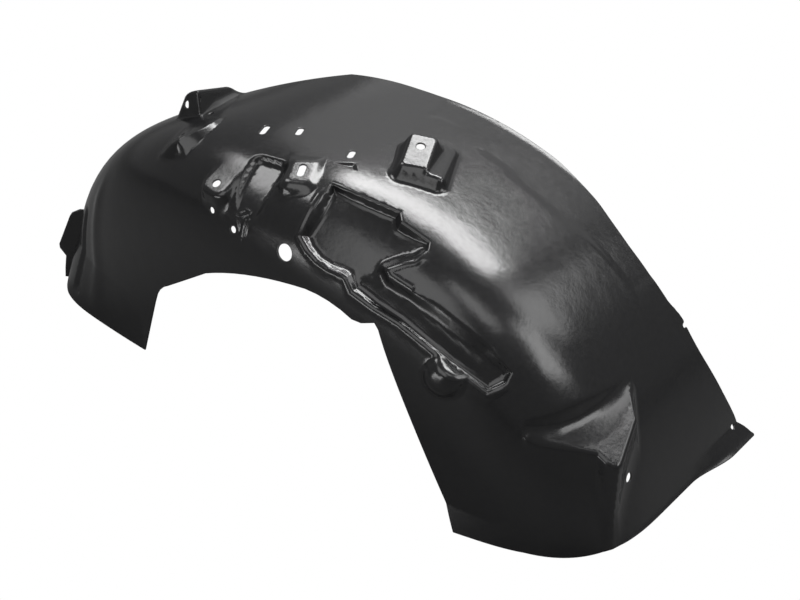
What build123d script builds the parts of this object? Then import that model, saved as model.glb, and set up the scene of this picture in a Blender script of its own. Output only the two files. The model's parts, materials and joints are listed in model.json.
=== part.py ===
"""Front wheel arch liner: one formed plastic sheet, in millimetres.

X runs along the car towards the rear foot, Y across it towards the outside, Z up. Both feet stand on Z = 0.
The sheet is the space between an outer and an inner skin. Each skin is built by the same functions; `inset` is how
far the skin lies inside the outer one, so every fold keeps the sheet's thickness.
"""
import os
from functools import lru_cache
from math import asin, cos, radians, sin, sqrt

from build123d import *

# Sheet
SHEET = 2.5

# Arch: two drums lying on their sides, turned a little apart in plan, with a flat top between them
ARCH_TOP = 383.0
REAR_RADIUS = 458.0
REAR_APEX = (-50.0, 134.0)
REAR_TURN = 5.0
FRONT_RADIUS = 435.0
FRONT_APEX = (-86.0, 340.0)
FRONT_TURN = 18.0
SHOULDER_RADIUS = 110.0
WALL_BOW_RADIUS = 2200.0
WALL_BOW_AT = 100.0
SPARE = 20.0
FAR_AWAY = 900.0

# Outboard edge in plan
EDGE_Y = 335.0
EDGE_WAIST_Y = 309.0
EDGE_WAIST_X = 255.0
EDGE_FULL_X = (-190.0, 150.0)
EDGE_ROUND = 40.0
EDGE_TAB_X = (328.0, 364.0)
EDGE_TAB_Y = 321.0
EDGE_TAB_SLOPE = 6.0
EAR_ROOT = (385.0, 332.0)
EAR_TIP = (445.0, 385.0)
FRONT_EDGE_SLOPE = 29.0

# Wheel cutout in the inboard wall, as X, Z
CUTOUT_FRONT_FOOT = -357.0
CUTOUT_FRONT_KNEE = (-306.0, 134.0)
CUTOUT_KNEE_ROUND = 25.0
CUTOUT_FLANK = (-199.0, 214.0)
CUTOUT_CROWN_BOW = (-90.0, 258.0)
CUTOUT_CROWN = (-20.0, 272.0)
CUTOUT_DIP = (52.0, 257.0)
CUTOUT_KICK = (84.0, 266.0)
CUTOUT_REAR_BOW = (150.0, 123.0)
CUTOUT_REAR_FOOT = 210.0

# Front end flange and its tab
FLANGE_WIDTH = 14.0
FLANGE_HEIGHT = 130.0
TAB_REACH = 32.0
TAB_LOW = 42.0
TAB_HEIGHT = 72.0
FLANGE_HOLE = 7.0
FLANGE_HOLE_AT = (431.0, 58.0)

# Box boss on the crown: a lower step and a tilted pad with a bolt hole
BOX_AT = (29.0, 178.0)
BOX_HEADING = 20.0
BOX_PITCH = 11.0
BOX_ROLL = 6.0
BOX_WIDTH = 34.0
BOX_LENGTH = 58.0
BOX_RISE = 17.0
BOX_FLARE = 26.0
BOX_STEP_AT = (36.0, 190.0)
BOX_STEP_ROLL = 13.0
BOX_STEP_WIDTH = 56.0
BOX_STEP_LENGTH = 76.0
BOX_STEP_RISE = 5.0
BOX_ROUND = 5.0
BOX_HOLE = 11.0
BOX_HOLE_SHIFT = 8.0

# Plateau lobes either side of the forward pocket, their tops measured down from the arch's top
LOBE_A_AT = (-178.0, 68.0)
LOBE_A_DROP = 20.0
LOBE_A_HEADING = -10.0
LOBE_A_PITCH = 26.0
LOBE_A_WIDTH = 44.0
LOBE_A_LENGTH = 82.0
LOBE_A_HOLE = 11.0
LOBE_A_HOLE_SHIFT = 33.0
LOBE_B_AT = (-80.0, 82.0)
LOBE_B_DROP = 2.0
LOBE_B_HEADING = 22.0
LOBE_B_PITCH = 9.0
LOBE_B_WIDTH = 36.0
LOBE_B_LENGTH = 54.0
LOBE_FLARE = 14.0
LOBE_ROUND = 12.0

# Forward pocket between the lobes
POCKET_AT = (-131.0, 62.0)
POCKET_DROP = 30.0
POCKET_HEADING = 4.0
POCKET_PITCH = 27.0
POCKET_WIDTH = 40.0
POCKET_LENGTH = 66.0
POCKET_FLARE = 36.0
POCKET_ROUND = 8.0
POCKET_REACH = 60.0

# Forward pad with its hole: steep sides and one long ramp towards the rear
PAD_AT = (-296.0, 118.0)
PAD_DROP = 19.5
PAD_HEADING = -4.0
PAD_PITCH = 10.0
PAD_ROLL = -13.0
PAD_WIDTH = 54.0
PAD_LENGTH = 84.0
PAD_FLARE = 14.0
PAD_RAMP = 40.0
PAD_RAMP_FLARE = 58.0
PAD_ROUND = 10.0
PAD_HOLE = 10.0
PAD_HOLE_SHIFT = (15.0, -30.0)

# Upstanding bracket at the forward edge: the corner of its ridge, and the ways its five faces look
BRACKET_AT = (-306.0, 150.0)
BRACKET_RISE = 10.0
BRACKET_FRONT = (0.0, -0.993, 0.119)
BRACKET_SLOPE = (0.6, -0.5, 0.62)
BRACKET_BACK = (-0.513, 0.387, 0.766)
BRACKET_LEFT = (-0.927, 0.0, 0.375)
BRACKET_LEFT_AT = (-334.0, 150.0)
BRACKET_LEFT_DROP = 11.0
BRACKET_END = (0.39, 0.68, 0.62)
BRACKET_END_AT = (-284.0, 205.0)
BRACKET_SLOT = (7.0, 12.0)
BRACKET_SLOT_AT = -326.0
BRACKET_SLOT_DROP = 16.0
BRACKET_HOLE = 7.0
BRACKET_HOLE_AT = (-288.0, 151.0)

# Small three-cornered dent on the crown
DENT_CORNERS = ((-56.0, 120.0), (-36.0, 132.0), (-26.0, 122.0))
DENT_DEPTH = 2.0

# Large sunk panel with a channel running down the rear leg, in its own tilted plane
PANEL_AT = (60.0, 40.0)
PANEL_DROP = 53.0
PANEL_FACING = (0.2, -0.68, 0.705)
PANEL_RUN = (0.9, -0.1, -0.42)
PANEL_DEPTH = 10.0
PANEL_ROUND = 4.0
PANEL_REACH = 70.0
PANEL_UPPER = ((-113.0, 26.0), (-22.0, 60.0), (-10.0, 53.0), (32.0, 60.0), (40.0, 52.0), (39.0, 30.0), (26.0, -1.0))
CHANNEL_UPPER = ((40.0, -12.0), (146.0, 4.0), (208.0, 19.0))
CHANNEL_LOWER = ((212.0, 4.0), (200.0, -16.0), (129.0, -19.0), (74.0, -29.0), (12.0, -42.0))
PANEL_LOWER = ((-4.0, -36.0), (-65.0, -40.0), (-90.0, -42.0))

# Wedge shelf cut into the rear leg's shoulder above and standing out of it below
SHELF_BORDER = ((286.0, 34.0), (322.0, 92.0), (343.0, 182.0))
SHELF_BLOCK = ((307.0, 44.0), (357.0, 77.0), (387.0, 75.0), (370.0, 152.0))
SHELF_CORNER = (387.0, 75.0, 130.0)
SHELF_FACING = (0.401, -0.183, 0.897)
SHELF_HOLE = 12.0
SHELF_HOLE_ANGLE = 69.6
SHELF_HOLE_ALONG = 26.0

# Small forms on the inboard wall: X, and Z measured down from the arch's top
DOME_AT = (178.0, 162.0)
DOME_RADIUS = 20.0
DOME_RISE = 8.0
WALL_HOLE = 22.0
WALL_HOLE_AT = (-56.0, 73.0)
WALL_HOLE_TILT = 20.0
CLIP_HOLE_A = 8.0
CLIP_HOLE_A_AT = (-184.0, 66.0)
CLIP_HOLE_B = 9.0
CLIP_HOLE_B_AT = (-144.0, 77.0)

# Slots: X, Y, length, heading
SLOT_WIDTH = 8.0
SLOTS = ((-181.0, 135.0, 22.0, 15.0), (-140.0, 155.0, 18.0, 18.0), (-52.0, 147.0, 18.0, 18.0))
LOBE_SLOT = (9.0, 21.0)

# Holes along the outboard edge, on the rear drum: angle from its apex, distance along its axis
EDGE_HOLE = 6.0
EDGE_HOLE_A = (55.9, 206.0)
EDGE_HOLE_B = (77.5, 258.0)

# Flared lips at the feet: rear foot's toe on the wall, rear foot's heel on the drum, front foot's toe
LIP_DEEP = 25.0
LIP_SINK = 1.0
TOE_X = (200.0, 302.0)
TOE_OUT = 11.0
TOE_HEIGHT = 34.0
HEEL_ALONG = (178.0, 225.0, 310.0)
HEEL_OUT = 16.0
HEEL_HEIGHT = 22.0
FRONT_TOE_X = -505.0
FRONT_TOE_OUT = 16.0
FRONT_TOE_ALONG = (410.0, 455.0)
FRONT_TOE_HEIGHT = 90.0

# Shallow step along the outboard edge
STEP_DEPTH = 2.0
STEP_CORNERS = ((-30.0, 286.0), (300.0, 270.0))
STEP_ROUND = 18.0


def side_inset(inset, flare):
    """How far a sloping side steps in at the inner skin's own level."""
    return inset * (1 - sin(radians(flare))) / cos(radians(flare))


def seat(at, z, heading=0.0, pitch=0.0, roll=0.0):
    """Place on the sheet: turned about Z, then tipped towards -Y by pitch and about its own length by roll."""
    return Pos(at[0], at[1], z) * Rot(0, 0, heading) * Rot(pitch, 0, 0) * Rot(0, roll, 0)


def drum(radius, apex, turn, side, inset):
    """Half of the arch: flat-topped behind its apex line, round in front of it, run along its axis."""
    r = radius - inset
    centre = ARCH_TOP - radius
    top = ARCH_TOP - inset
    end = asin((-SPARE - centre) / r)
    mid = (radians(90) + end) / 2
    last = (r * cos(end), -SPARE)
    lines = Polyline(last, (-FAR_AWAY, -SPARE), (-FAR_AWAY, top), (0, top))
    arc = ThreePointArc((0, top), (r * cos(mid), centre + r * sin(mid)), last)
    facing = (side * cos(radians(turn)), -side * sin(radians(turn)), 0)
    axis = Vector(*facing).cross(Vector(0, 0, 1))
    plane = Plane(origin=(*apex, 0), x_dir=facing, z_dir=axis)
    return extrude(plane * make_face(lines + arc), amount=FAR_AWAY, both=True)


@lru_cache(maxsize=None)
def plug(inset):
    """The plain arch, its inboard wall and the round shoulder between them, as a solid."""
    body = drum(REAR_RADIUS, REAR_APEX, REAR_TURN, 1, inset) & drum(FRONT_RADIUS, FRONT_APEX, FRONT_TURN, -1, inset)
    bow = WALL_BOW_RADIUS - inset
    body &= Pos(WALL_BOW_AT, WALL_BOW_RADIUS, ARCH_TOP / 2) * Cylinder(bow, FAR_AWAY)
    body &= Pos(-SPARE, 0, ARCH_TOP / 2) * Box(2 * FAR_AWAY, FAR_AWAY, FAR_AWAY)
    wall = min(body.faces().filter_by(GeomType.CYLINDER), key=lambda f: abs(f.radius - bow))
    shoulder = [e for e in wall.edges() if e.center().Z > 0]
    return fillet(shoulder, SHOULDER_RADIUS - inset)


def raised(width, length, depth, flare, corner, inset):
    """A pad with its top at Z = 0, sides sloping out and down."""
    step = side_inset(inset, flare)
    top = RectangleRounded(width - 2 * step, length - 2 * step, max(corner - step, 0.5))
    return Pos(0, 0, -inset) * extrude(top, amount=depth, dir=(0, 0, -1), taper=-flare)


def sunk(width, length, height, flare, corner, inset):
    """A pocket to cut away with its floor at Z = 0, sides sloping out and up."""
    step = side_inset(inset, flare)
    floor = RectangleRounded(width + 2 * step, length + 2 * step, corner + step)
    return Pos(0, 0, -inset) * extrude(floor, amount=height, taper=-flare)


def box_seat():
    """Centre of the box boss's pad."""
    return seat(BOX_AT, ARCH_TOP + BOX_RISE, BOX_HEADING, BOX_PITCH, BOX_ROLL)


def box_boss(inset):
    step_seat = seat(BOX_STEP_AT, ARCH_TOP + BOX_STEP_RISE, BOX_HEADING, 0, BOX_STEP_ROLL)
    step = raised(BOX_STEP_WIDTH, BOX_STEP_LENGTH, 4 * SPARE, BOX_FLARE, BOX_ROUND, inset)
    pad = raised(BOX_WIDTH, BOX_LENGTH, 4 * SPARE, BOX_FLARE, BOX_ROUND, inset)
    return step_seat * step + box_seat() * pad


def lobe_a_seat():
    return seat(LOBE_A_AT, ARCH_TOP - LOBE_A_DROP, LOBE_A_HEADING, LOBE_A_PITCH)


def lobe_b_seat():
    return seat(LOBE_B_AT, ARCH_TOP - LOBE_B_DROP, LOBE_B_HEADING, LOBE_B_PITCH)


def pad_seat():
    return seat(PAD_AT, ARCH_TOP - PAD_DROP, PAD_HEADING, PAD_PITCH, PAD_ROLL)


def below_face(block, at, facing, inset):
    """The part of a block behind a plane face, which lies `inset` further in on the inner skin."""
    facing = Vector(*facing).normalized()
    return split(block, bisect_by=Plane(origin=Vector(*at) - facing * inset, z_dir=facing), keep=Keep.BOTTOM)


def pad(inset):
    """Forward pad with its ramp."""
    wide = raised(PAD_WIDTH + PAD_RAMP, PAD_LENGTH, 3 * SPARE, PAD_FLARE, PAD_ROUND, inset)
    ramp = (cos(radians(PAD_RAMP_FLARE)), 0, sin(radians(PAD_RAMP_FLARE)))
    return pad_seat() * below_face(Pos(PAD_RAMP / 2, 0, 0) * wide, (PAD_WIDTH / 2, 0, 0), ramp, inset)


def bracket(inset):
    """An upright hollow tab: a steep slotted face, a long slope beside it and a back that falls away."""
    ridge = (*BRACKET_AT, ARCH_TOP + BRACKET_RISE)
    tab = Pos(ridge) * Box(8 * SPARE, 8 * SPARE, 5 * SPARE)
    for facing in (BRACKET_FRONT, BRACKET_SLOPE, BRACKET_BACK):
        tab = below_face(tab, ridge, facing, inset)
    tab = below_face(tab, (*BRACKET_LEFT_AT, ARCH_TOP - BRACKET_LEFT_DROP), BRACKET_LEFT, inset)
    return below_face(tab, (*BRACKET_END_AT, ARCH_TOP), BRACKET_END, inset)


def dent(inset):
    """What the three-cornered dent takes away."""
    face = make_face(Polyline(*DENT_CORNERS, close=True))
    face = offset(face, amount=inset) if inset else face
    return Pos(0, 0, ARCH_TOP - DENT_DEPTH - inset) * extrude(face, amount=SPARE)


def panel_plane():
    return Plane(origin=(*PANEL_AT, ARCH_TOP - PANEL_DROP), x_dir=Vector(*PANEL_RUN), z_dir=Vector(*PANEL_FACING))


def panel(inset):
    """What the sunk panel takes away: everything inside its outline down to its floor."""
    face = make_face(Polyline(*PANEL_UPPER, *CHANNEL_UPPER, *CHANNEL_LOWER, *PANEL_LOWER, close=True))
    face = fillet(face.vertices(), PANEL_ROUND)
    if inset:
        face = offset(face, amount=inset)
    well = extrude(panel_plane() * face, amount=PANEL_REACH, both=True)
    return well - plug(inset + PANEL_DEPTH)


def shelf_top(inset):
    """The shelf's sloping face as a plane."""
    facing = Vector(*SHELF_FACING).normalized()
    return Plane(origin=Vector(*SHELF_CORNER) - facing * inset, z_dir=facing)


def shelf_cut(inset):
    """What the shelf takes away above its sloping face, out from the border on the shoulder."""
    outside = [(ARCH_TOP + SPARE, SHELF_BORDER[-1][1]), (ARCH_TOP + SPARE, -SPARE), (SHELF_BORDER[0][0], -SPARE)]
    border = ThreePointArc(*SHELF_BORDER)
    face = make_face(border + Polyline(SHELF_BORDER[-1], *outside, SHELF_BORDER[0]))
    if inset:
        face = offset(face, amount=inset)
    return split(extrude(face, amount=ARCH_TOP), bisect_by=shelf_top(inset), keep=Keep.TOP)


def shelf_block(inset):
    """The upright block that stands out under the sloping face."""
    face = make_face(Polyline(SHELF_BORDER[0], *SHELF_BLOCK, SHELF_BORDER[-1], close=True))
    if inset:
        face = offset(face, amount=-inset, kind=Kind.INTERSECTION)
    return split(extrude(face, amount=ARCH_TOP), bisect_by=shelf_top(inset), keep=Keep.BOTTOM)


def rear_place(angle, along, radius=REAR_RADIUS):
    """A place on the rear drum, facing out of it."""
    axis = Pos(*REAR_APEX, ARCH_TOP - REAR_RADIUS) * Rot(0, 0, -REAR_TURN)
    return axis * Rot(0, angle, 0) * Pos(0, along, radius)


def flare(foot, root, height, inset):
    """A lip that leaves the sheet at `height` along `root` and spreads to `foot` on the floor, both in plan."""
    ends = [Vector(0, LIP_DEEP) + root[-1], Vector(0, LIP_DEEP) + root[0]]
    below = [f + (f - r) * (SPARE / height) for f, r in zip(foot, root)]
    sections = []
    for points, z in ((below, -SPARE), (root, height)):
        face = make_face(Polyline(*points, *ends, close=True))
        if inset:
            face = offset(face, amount=-inset, kind=Kind.INTERSECTION)
        sections.append(Pos(0, 0, z) * face)
    return loft(sections, ruled=True)


def toe(inset):
    """Rear foot's lip along the inboard wall, running out towards the shoulder."""
    root = [Vector(x, wall_y(x) + LIP_SINK) for x in TOE_X]
    return flare([root[0] - Vector(0, TOE_OUT + LIP_SINK), root[1]], root, TOE_HEIGHT, inset)


def heel(inset):
    """Rear foot's lip at the outboard end of the drum."""
    centre = ARCH_TOP - REAR_RADIUS
    floor_reach = sqrt(REAR_RADIUS**2 - centre**2)
    root_reach = sqrt(REAR_RADIUS**2 - (HEEL_HEIGHT - centre) ** 2)
    foot = [Vector(HEEL_ALONG[0], LIP_SINK - floor_reach)]
    foot += [Vector(along, -floor_reach - HEEL_OUT) for along in HEEL_ALONG[1:]]
    root = [Vector(along, LIP_SINK - root_reach) for along in HEEL_ALONG]
    return Pos(*REAR_APEX, 0) * Rot(0, 0, 90 - REAR_TURN) * flare(foot, root, HEEL_HEIGHT, inset)


def front_toe(inset):
    """Front foot's lip along the inboard wall, widening towards the forward edge."""
    first = Vector(CUTOUT_FRONT_FOOT, wall_y(CUTOUT_FRONT_FOOT))
    second = Vector(FRONT_TOE_X, wall_y(FRONT_TOE_X))
    start = Vector(EDGE_FULL_X[0], EDGE_Y)
    near, out = [start + front_edge() * along for along in FRONT_TOE_ALONG]
    foot = [out, second - Vector(0, FRONT_TOE_OUT), first]
    return flare(foot, [near, second, first], FRONT_TOE_HEIGHT, inset)


def edge_step(inset):
    """What the shallow step takes away along the outboard edge."""
    near, far = STEP_CORNERS
    face = make_face(Polyline(near, far, (far[0], FAR_AWAY), (near[0], FAR_AWAY), close=True))
    face = fillet([v for v in face.vertices() if v.Y < FAR_AWAY / 2], STEP_ROUND)
    if inset:
        face = offset(face, amount=inset)
    return extrude(face, amount=FAR_AWAY) - plug(inset + STEP_DEPTH)


def wall_y(x):
    """Y of the inboard wall's outer skin."""
    return WALL_BOW_RADIUS - sqrt(WALL_BOW_RADIUS**2 - (x - WALL_BOW_AT) ** 2)


def dome(inset):
    """A low round bump on the wall."""
    ball = (DOME_RADIUS**2 + DOME_RISE**2) / (2 * DOME_RISE)
    return Pos(DOME_AT[0], wall_y(DOME_AT[0]) + ball - DOME_RISE, ARCH_TOP - DOME_AT[1]) * Sphere(ball - inset)


def skin(inset):
    """One whole skin of the liner as a solid."""
    body = plug(inset)
    body += box_boss(inset)
    body += bracket(inset)
    body += pad(inset)
    body += lobe_a_seat() * raised(LOBE_A_WIDTH, LOBE_A_LENGTH, 3 * SPARE, LOBE_FLARE, LOBE_ROUND, inset)
    body += lobe_b_seat() * raised(LOBE_B_WIDTH, LOBE_B_LENGTH, 3 * SPARE, LOBE_FLARE, LOBE_ROUND, inset)
    body -= shelf_cut(inset)
    body += shelf_block(inset)
    body += toe(inset)
    body += heel(inset)
    body += front_toe(inset)
    body += dome(inset)
    body -= edge_step(inset)
    body -= panel(inset)
    body -= dent(inset)
    pocket_seat = seat(POCKET_AT, ARCH_TOP - POCKET_DROP, POCKET_HEADING, POCKET_PITCH)
    body -= pocket_seat * sunk(POCKET_WIDTH, POCKET_LENGTH, POCKET_REACH, POCKET_FLARE, POCKET_ROUND, inset)
    return body


def front_edge():
    """Plan direction of the forward edge, from the outboard edge towards the front foot."""
    return Vector(-cos(radians(FRONT_EDGE_SLOPE)), -sin(radians(FRONT_EDGE_SLOPE)))


def plan_outline():
    """The sheet's outline seen from above, far larger than the arch wherever the arch itself is the border."""
    start = Vector(EDGE_FULL_X[0], EDGE_Y)
    front = start + front_edge() * FAR_AWAY
    tab_start, tab_end = EDGE_TAB_X
    tab = [(tab_start, EDGE_WAIST_Y), (tab_start + EDGE_TAB_SLOPE, EDGE_TAB_Y), (tab_end, EDGE_TAB_Y)]
    outboard = [start, (EDGE_FULL_X[1], EDGE_Y), (EDGE_WAIST_X, EDGE_WAIST_Y), *tab, EAR_ROOT, EAR_TIP]
    far_side = [(FAR_AWAY, EAR_TIP[1]), (FAR_AWAY, -FAR_AWAY), (front.X, -FAR_AWAY), front]
    plan = make_face(Polyline(*outboard, *far_side, close=True))
    soft = [Vector(*p) for p in outboard[:3]]
    corners = [v for v in plan.vertices() if min((Vector(*v) - p).length for p in soft) < SHEET]
    return fillet(corners, EDGE_ROUND)


def wheel_cutout():
    """The opening in the inboard wall, in X and Z."""
    left = Polyline((CUTOUT_FRONT_FOOT, -SPARE), (CUTOUT_FRONT_FOOT, 0), CUTOUT_FRONT_KNEE, CUTOUT_FLANK)
    crown = ThreePointArc(CUTOUT_FLANK, CUTOUT_CROWN_BOW, CUTOUT_CROWN)
    kick = Polyline(CUTOUT_CROWN, CUTOUT_DIP, CUTOUT_KICK)
    right = ThreePointArc(CUTOUT_KICK, CUTOUT_REAR_BOW, (CUTOUT_REAR_FOOT, 0))
    base = Polyline((CUTOUT_REAR_FOOT, 0), (CUTOUT_REAR_FOOT, -SPARE), (CUTOUT_FRONT_FOOT, -SPARE))
    opening = make_face(left + crown + kick + right + base)
    knee = min(opening.vertices(), key=lambda v: (Vector(*v) - Vector(*CUTOUT_FRONT_KNEE)).length)
    return fillet(knee, CUTOUT_KNEE_ROUND)


def trim():
    """Everything inside the sheet's outline: floor, outboard edge, forward edge and the wheel cutout."""
    keep = extrude(plan_outline(), amount=FAR_AWAY)
    return keep - extrude(Plane.XZ * wheel_cutout(), amount=FAR_AWAY, both=True)


def end_flange():
    """Upright flange along the forward edge's lower part, with a tab that reaches further."""
    along = front_edge()
    across = Vector(-along.Y, along.X)
    start = Vector(EDGE_FULL_X[0], EDGE_Y)
    inside = start + across * SHEET
    strip = make_face(Polyline(start, start + along * FAR_AWAY, inside + along * FAR_AWAY, inside, close=True))
    plate = extrude(strip, amount=FLANGE_HEIGHT) & plug(-FLANGE_WIDTH)
    tab = Pos(0, 0, TAB_LOW) * extrude(strip, amount=TAB_HEIGHT) & plug(-TAB_REACH)
    hole_at = start + along * FLANGE_HOLE_AT[0]
    hole_place = Pos(hole_at.X, hole_at.Y, FLANGE_HOLE_AT[1]) * Rot(0, 0, FRONT_EDGE_SLOPE) * Rot(90, 0, 0)
    return plate + tab - plug(SHEET) - round_hole(hole_place, FLANGE_HOLE)


def round_hole(place, diameter):
    return place * Cylinder(diameter / 2, 2 * SPARE)


def long_hole(place, width, length):
    return place * extrude(Rot(0, 0, 90) * SlotOverall(length, width), amount=SPARE, both=True)


def wall_place(at):
    """A place on the inboard wall, facing out of it."""
    return Pos(at[0], wall_y(at[0]), ARCH_TOP - at[1]) * Rot(90, 0, 0)


def bracket_hole_place():
    """A place on the bracket's long slope, facing out of it."""
    facing = Vector(*BRACKET_SLOPE).normalized()
    along = Vector(*BRACKET_HOLE_AT) - Vector(*BRACKET_AT)
    drop = (along.X * facing.X + along.Y * facing.Y) / facing.Z
    return Plane(origin=(*BRACKET_HOLE_AT, ARCH_TOP + BRACKET_RISE - drop), z_dir=facing).location


def holes():
    """Every hole and slot as one list of cutters."""
    cut = [round_hole(box_seat() * Pos(0, BOX_HOLE_SHIFT, 0), BOX_HOLE)]
    cut.append(round_hole(lobe_a_seat() * Pos(0, -LOBE_A_HOLE_SHIFT, 0), LOBE_A_HOLE))
    cut.append(long_hole(lobe_b_seat(), *LOBE_SLOT))
    cut.append(round_hole(pad_seat() * Pos(*PAD_HOLE_SHIFT, 0), PAD_HOLE))
    cut.append(round_hole(bracket_hole_place(), BRACKET_HOLE))
    slot_place = Pos(BRACKET_SLOT_AT, BRACKET_AT[1], ARCH_TOP - BRACKET_SLOT_DROP) * Rot(90, 0, 0)
    cut.append(long_hole(slot_place, *BRACKET_SLOT))
    for x, y, length, heading in SLOTS:
        cut.append(long_hole(seat((x, y), ARCH_TOP, heading), SLOT_WIDTH, length))
    cut.append(round_hole(wall_place(WALL_HOLE_AT) * Rot(-WALL_HOLE_TILT, 0, 0), WALL_HOLE))
    cut.append(round_hole(wall_place(CLIP_HOLE_A_AT) * Rot(-WALL_HOLE_TILT, 0, 0), CLIP_HOLE_A))
    cut.append(round_hole(wall_place(CLIP_HOLE_B_AT) * Rot(-WALL_HOLE_TILT, 0, 0), CLIP_HOLE_B))
    cut.append(round_hole(rear_place(SHELF_HOLE_ANGLE, SHELF_HOLE_ALONG), SHELF_HOLE))
    cut.append(round_hole(rear_place(*EDGE_HOLE_A), EDGE_HOLE))
    cut.append(round_hole(rear_place(*EDGE_HOLE_B), EDGE_HOLE))
    return cut


def liner():
    sheet = skin(0) - skin(SHEET)
    sheet += end_flange()
    sheet &= trim()
    sheet -= holes()
    return sheet


whole = liner()
box = whole.bounding_box()
whole = Pos(-(box.min.X + box.max.X) / 2, -(box.min.Y + box.max.Y) / 2, -box.min.Z) * whole
os.makedirs("parts", exist_ok=True)
export_step(whole, "parts/arch_liner.step")
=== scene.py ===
"""Looks of the wheel arch liner: one formed sheet of glossy black plastic on a white studio floor."""
import json
from math import cos, pi, radians, sin, tan

import bpy
import numpy as np
from mathutils import Matrix, Vector
from mathutils.geometry import delaunay_2d_cdt


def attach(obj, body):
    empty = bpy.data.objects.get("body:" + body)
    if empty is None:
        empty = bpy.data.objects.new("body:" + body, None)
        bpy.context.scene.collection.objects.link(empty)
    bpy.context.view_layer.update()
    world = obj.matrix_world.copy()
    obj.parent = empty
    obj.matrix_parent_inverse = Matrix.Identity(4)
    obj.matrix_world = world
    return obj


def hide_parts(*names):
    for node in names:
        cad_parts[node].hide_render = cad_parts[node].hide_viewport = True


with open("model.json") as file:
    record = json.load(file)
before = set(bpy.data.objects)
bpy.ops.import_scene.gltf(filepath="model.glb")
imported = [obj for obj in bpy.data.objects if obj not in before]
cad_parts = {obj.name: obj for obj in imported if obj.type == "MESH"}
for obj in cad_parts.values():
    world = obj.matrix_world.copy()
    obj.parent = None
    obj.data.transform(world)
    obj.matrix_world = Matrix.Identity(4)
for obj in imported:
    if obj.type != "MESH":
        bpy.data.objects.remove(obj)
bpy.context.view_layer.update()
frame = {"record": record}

# Arch liner: the plain arch with its flared feet
# One sheet of black polyethylene, formed over a mould and trimmed, and held in the car by clips and screws.
# Two drums and a soft shoulder lead down to the inboard wall, and the feet spread into lips at the floor.
# The form is a depth below the outer skin, in the car's millimetres: X to the rear foot, Y outboard, Z up.

ARCH_TOP = 383.0
REAR_RADIUS = 458.0
REAR_APEX = np.array((-50.0, 134.0))
REAR_TURN = radians(5)
FRONT_RADIUS = 435.0
FRONT_APEX = np.array((-86.0, 340.0))
FRONT_TURN = radians(18)
SOFT_SHOULDER = 156.0
WALL_BOW = 2200.0
WALL_BOW_AT = 100.0
TOE_OUT = 11.0
TOE_HEIGHT = 34.0
TOE_END = 302.0
TOE_LENGTH = 102.0
HEEL_OUT = 16.0
HEEL_HEIGHT = 24.0
HEEL_START = (150, 235)
ROLL_OUT = 6.0
ROLL_HEIGHT = 8.0
ROLL_START = (-25, 25)
FRONT_TOE_OUT = 16.0
FRONT_TOE_HEIGHT = 90.0
FRONT_TOE_START = -357.0
FRONT_TOE_LENGTH = 148.0
FRONT_TOE_MOST = 1.3
LIP_MOST = 2


def ramp(value, start, end):
    """Smooth step from 0 at start to 1 at end."""
    t = np.clip((value - start) / (end - start), 0, 1)
    return t * t * (3 - 2 * t)


def wall_y(x):
    """Y of the plain inboard wall, a very flat arc."""
    return WALL_BOW - np.sqrt(WALL_BOW**2 - (x - WALL_BOW_AT) ** 2)


def rear_round(p):
    """Reach from the rear drum's axis line, and place along it."""
    x, y = p[:, 0] - REAR_APEX[0], p[:, 1] - REAR_APEX[1]
    reach = x * cos(REAR_TURN) - y * sin(REAR_TURN)
    along = x * sin(REAR_TURN) + y * cos(REAR_TURN)
    return reach, along


def front_reach(p):
    """Reach from the front drum's axis line."""
    x, y = p[:, 0] - FRONT_APEX[0], p[:, 1] - FRONT_APEX[1]
    return -x * cos(FRONT_TURN) + y * sin(FRONT_TURN)


def lip(z, height):
    """Share of a foot's lip: none at its top, all of it at the floor."""
    return np.clip(1 - z / height, 0, LIP_MOST)


def arch(p):
    """Plain drums, wall and shoulder, with the lips that spread at the feet."""
    x, y, z = p.T
    reach, along = rear_round(p)
    rear = REAR_RADIUS - np.hypot(np.maximum(reach, 0), z - ARCH_TOP + REAR_RADIUS)
    heel = HEEL_OUT * ramp(along, *HEEL_START) * lip(z, HEEL_HEIGHT) * (reach > 0)
    roll = ROLL_OUT * ramp(along, *ROLL_START) * np.clip(1 - z / ROLL_HEIGHT, 0, 1) ** 2 * (reach > 0)
    front = FRONT_RADIUS - np.hypot(np.maximum(front_reach(p), 0), z - ARCH_TOP + FRONT_RADIUS)
    drum = np.minimum(rear + heel + roll, front)
    toe = TOE_OUT * np.clip((TOE_END - x) / TOE_LENGTH, 0, 1) * lip(z, TOE_HEIGHT) * (x > 0)
    front_toe = np.clip((FRONT_TOE_START - x) / FRONT_TOE_LENGTH, 0, FRONT_TOE_MOST)
    front_toe = FRONT_TOE_OUT * front_toe * lip(z, FRONT_TOE_HEIGHT)
    wall = y - wall_y(x) + toe + front_toe
    into_drum = np.maximum(SOFT_SHOULDER - drum, 0)
    into_wall = np.maximum(SOFT_SHOULDER - wall, 0)
    return np.maximum(SOFT_SHOULDER, np.minimum(drum, wall)) - np.cbrt(into_drum**3 + into_wall**3)


# Arch liner: box pad, two lobes and the pocket between them
# Raised seats for bolts and clips on the crown, with sloping sides so that the sheet leaves its mould.
# Each is given in its own seat: X across it, Y from front to back, Z out of the sheet.

def round_both(a, b, radius):
    """Depth inside both forms, with the edge between them rounded."""
    corner = np.hypot(np.maximum(radius - a, 0), np.maximum(radius - b, 0))
    return np.maximum(radius, np.minimum(a, b)) - corner


def round_either(a, b, radius):
    """Depth inside either form, with a fillet in the corner between them."""
    return -round_both(-a, -b, radius)


def soft_less(a, b, width):
    """The lesser of two depths, eased over where they cross."""
    near = np.maximum(width - np.abs(a - b), 0)
    return np.minimum(a, b) - near**2 / (4 * width)


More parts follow.
